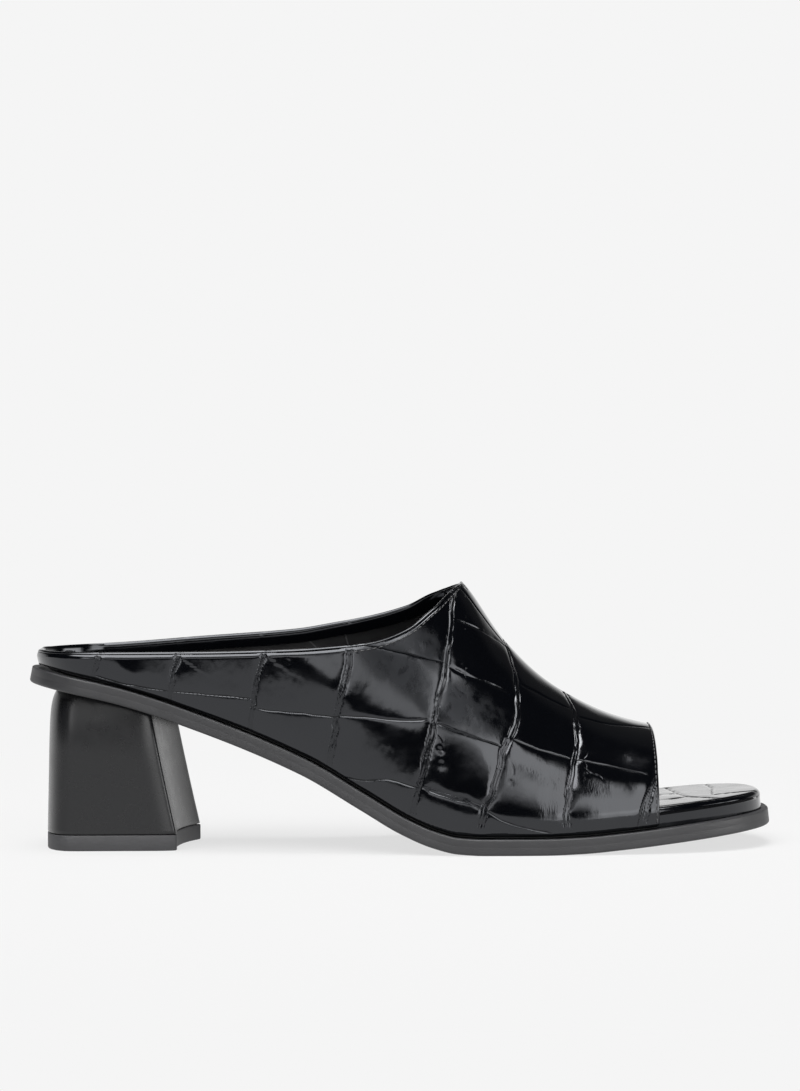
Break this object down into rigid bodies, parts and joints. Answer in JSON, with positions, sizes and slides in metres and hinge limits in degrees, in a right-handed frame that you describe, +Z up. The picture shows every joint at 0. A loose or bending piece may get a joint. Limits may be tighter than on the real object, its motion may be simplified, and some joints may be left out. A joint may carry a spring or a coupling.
{
  "type": "block heel mule",
  "caption": "Open-toe block heel mule in embossed leather, with a raised vamp peak, a low collar band, a wrapped insole and a flared heel; right foot.",
  "frame": {"origin": "middle of the heel's flat face, on the floor", "axes": "+X towards the toe, +Y towards the inner (medial) side of the right foot, +Z up"},
  "size_m": [0.2581, 0.0884, 0.0911],
  "materials": {
    "outsole": "matte charcoal edge",
    "heel_block": "satin black lacquer",
    "top_piece": "matte dark grey",
    "insole": "high gloss, embossed in large scales",
    "upper": "high gloss, embossed in large scales"
  },
  "bodies": {
    "root": {"outsole": "outsole", "heel_block": "heel_block", "top_piece": "top_piece", "insole": "insole", "upper": "upper"}
  },
  "joints": []
}
